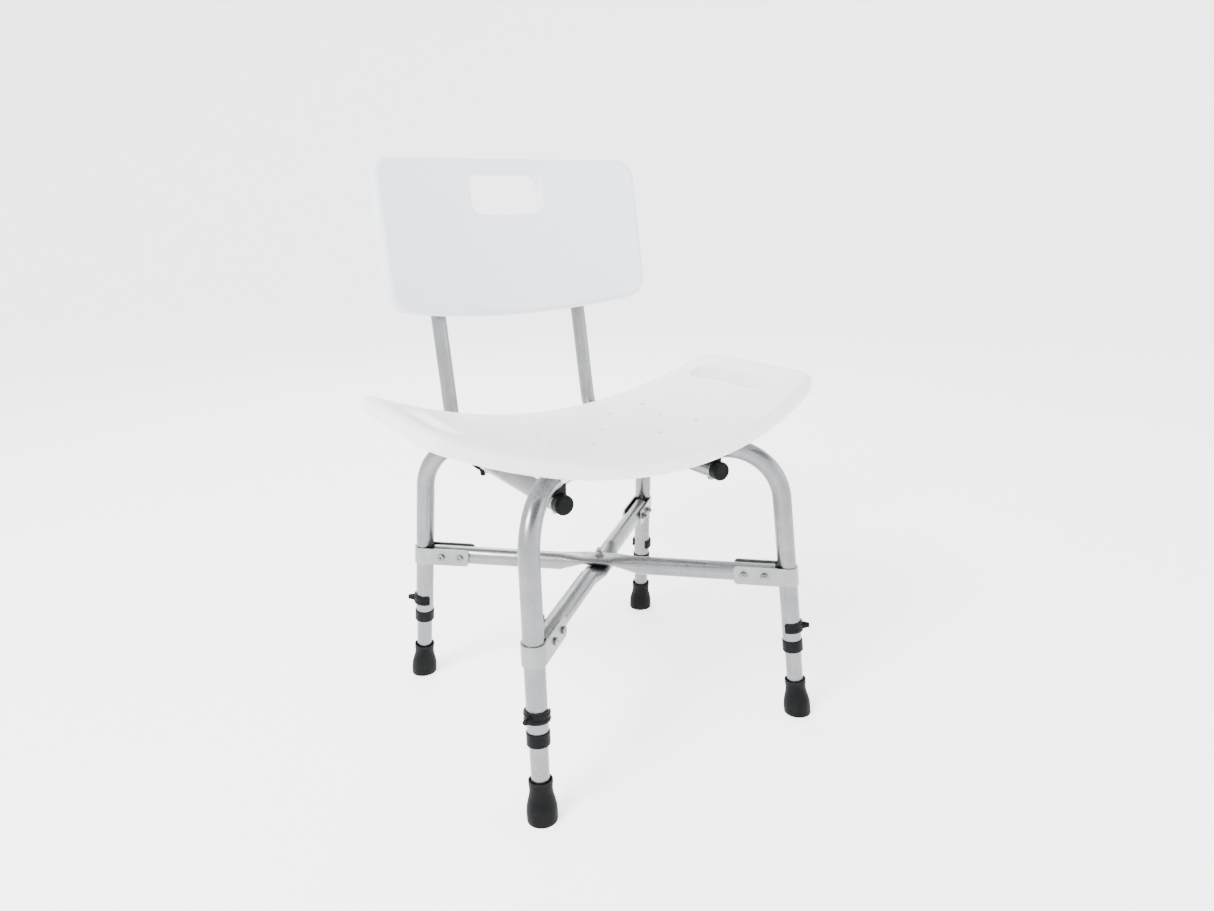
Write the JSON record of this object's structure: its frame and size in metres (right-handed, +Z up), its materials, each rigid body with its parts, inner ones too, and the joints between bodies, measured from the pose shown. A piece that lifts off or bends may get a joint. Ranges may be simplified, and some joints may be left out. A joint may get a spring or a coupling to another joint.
{
  "type": "shower chair",
  "caption": "Shower chair with a bowed seat and curved backrest, each with hand holes, on a splayed aluminium tube frame with crossed braces and height-adjustable legs.",
  "frame": {"origin": "on the floor, at the middle of the bounding box's base", "axes": "+Z up; the sitter faces -Y; +X towards the right as seen from in front of the chair"},
  "size_m": [0.5698, 0.5155, 0.7622],
  "materials": {
    "white_plastic": "fine moulded texture, satin",
    "tube_aluminium": "satin anodised",
    "strap_aluminium": "satin",
    "black_plastic": "matt",
    "tip_rubber": "matt",
    "hardware_steel": "zinc plated",
    "insert_brass": "plain"
  },
  "bodies": {
    "frame_and_seat": {"seat_panel": "white_plastic", "seat_spacers": "white_plastic", "seat_inserts": "insert_brass", "seat_bolts": "hardware_steel", "leg_bow_upper": "tube_aluminium", "leg_bow_lower": "tube_aluminium", "bow_bolt": "hardware_steel", "bow_nut": "hardware_steel", "brace_tube_upper": "tube_aluminium", "brace_tube_lower": "tube_aluminium", "brace_plugs": "black_plastic", "brace_washers": "hardware_steel", "brace_bolt": "hardware_steel", "brace_nut": "hardware_steel", "strap_front_left": "strap_aluminium", "strap_front_right": "strap_aluminium", "strap_rear_left": "strap_aluminium", "strap_rear_right": "strap_aluminium", "strap_bolts": "hardware_steel", "strap_nuts": "hardware_steel", "receiver_tube_left": "tube_aluminium", "receiver_cap_left": "black_plastic", "receiver_collar_left": "black_plastic", "receiver_tube_right": "tube_aluminium", "receiver_cap_right": "black_plastic", "receiver_collar_right": "black_plastic", "receiver_saddles": "black_plastic", "leg_collar_front_left": "black_plastic", "leg_collar_front_right": "black_plastic", "leg_collar_rear_left": "black_plastic", "leg_collar_rear_right": "black_plastic"},
    "leg_front_left": {"leg_tube_front_left": "tube_aluminium", "leg_washer_front_left": "hardware_steel", "leg_tip_front_left": "tip_rubber"},
    "leg_front_right": {"leg_tube_front_right": "tube_aluminium", "leg_washer_front_right": "hardware_steel", "leg_tip_front_right": "tip_rubber"},
    "leg_rear_left": {"leg_tube_rear_left": "tube_aluminium", "leg_washer_rear_left": "hardware_steel", "leg_tip_rear_left": "tip_rubber"},
    "leg_rear_right": {"leg_tube_rear_right": "tube_aluminium", "leg_washer_rear_right": "hardware_steel", "leg_tip_rear_right": "tip_rubber"},
    "leg_clip_body_front_left": {"leg_clip_front_left": "black_plastic"},
    "leg_clip_body_front_right": {"leg_clip_front_right": "black_plastic"},
    "leg_clip_body_rear_left": {"leg_clip_rear_left": "black_plastic"},
    "leg_clip_body_rear_right": {"leg_clip_rear_right": "black_plastic"},
    "backrest": {"back_tube_left": "tube_aluminium", "back_tube_right": "tube_aluminium", "back_tube_plugs": "black_plastic", "backrest_panel": "white_plastic", "back_screws": "hardware_steel"},
    "receiver_clip_body_left": {"receiver_clip_left": "black_plastic"},
    "receiver_clip_body_right": {"receiver_clip_right": "black_plastic"}
  },
  "joints": [
    {"name": "leg_front_left_height", "type": "slide", "parent": "frame_and_seat", "child": "leg_front_left", "axis": [-0.0447, -0.1102, -0.9929], "range_m": [-0.0254, 0.0762]},
    {"name": "leg_front_right_height", "type": "slide", "parent": "frame_and_seat", "child": "leg_front_right", "axis": [0.0447, -0.1102, -0.9929], "range_m": [-0.0254, 0.0762]},
    {"name": "leg_rear_left_height", "type": "slide", "parent": "frame_and_seat", "child": "leg_rear_left", "axis": [-0.0447, 0.1102, -0.9929], "range_m": [-0.0254, 0.0762]},
    {"name": "leg_rear_right_height", "type": "slide", "parent": "frame_and_seat", "child": "leg_rear_right", "axis": [0.0447, 0.1102, -0.9929], "range_m": [-0.0254, 0.0762]},
    {"name": "leg_clip_front_left_pull", "type": "slide", "parent": "frame_and_seat", "child": "leg_clip_body_front_left", "axis": [-0.8826, -0.4613, 0.0909], "range_m": [0, 0.032], "deforming": ["leg_clip_front_left"]},
    {"name": "leg_clip_front_right_pull", "type": "slide", "parent": "frame_and_seat", "child": "leg_clip_body_front_right", "axis": [0.7426, -0.6611, 0.1068], "range_m": [0, 0.032], "deforming": ["leg_clip_front_right"]},
    {"name": "leg_clip_rear_left_pull", "type": "slide", "parent": "frame_and_seat", "child": "leg_clip_body_rear_left", "axis": [-0.8826, 0.4613, 0.0909], "range_m": [0, 0.032], "deforming": ["leg_clip_rear_left"]},
    {"name": "leg_clip_rear_right_pull", "type": "slide", "parent": "frame_and_seat", "child": "leg_clip_body_rear_right", "axis": [0.8826, 0.4613, 0.0909], "range_m": [0, 0.032], "deforming": ["leg_clip_rear_right"]},
    {"name": "backrest_pull_out", "type": "slide", "parent": "frame_and_seat", "child": "backrest", "axis": [0, 1, 0], "range_m": [0, 0.1]},
    {"name": "receiver_clip_left_pull", "type": "slide", "parent": "frame_and_seat", "child": "receiver_clip_body_left", "axis": [0, 0, -1], "range_m": [0, 0.032], "deforming": ["receiver_clip_left"]},
    {"name": "receiver_clip_right_pull", "type": "slide", "parent": "frame_and_seat", "child": "receiver_clip_body_right", "axis": [0, 0, -1], "range_m": [0, 0.032], "deforming": ["receiver_clip_right"]}
  ]
}
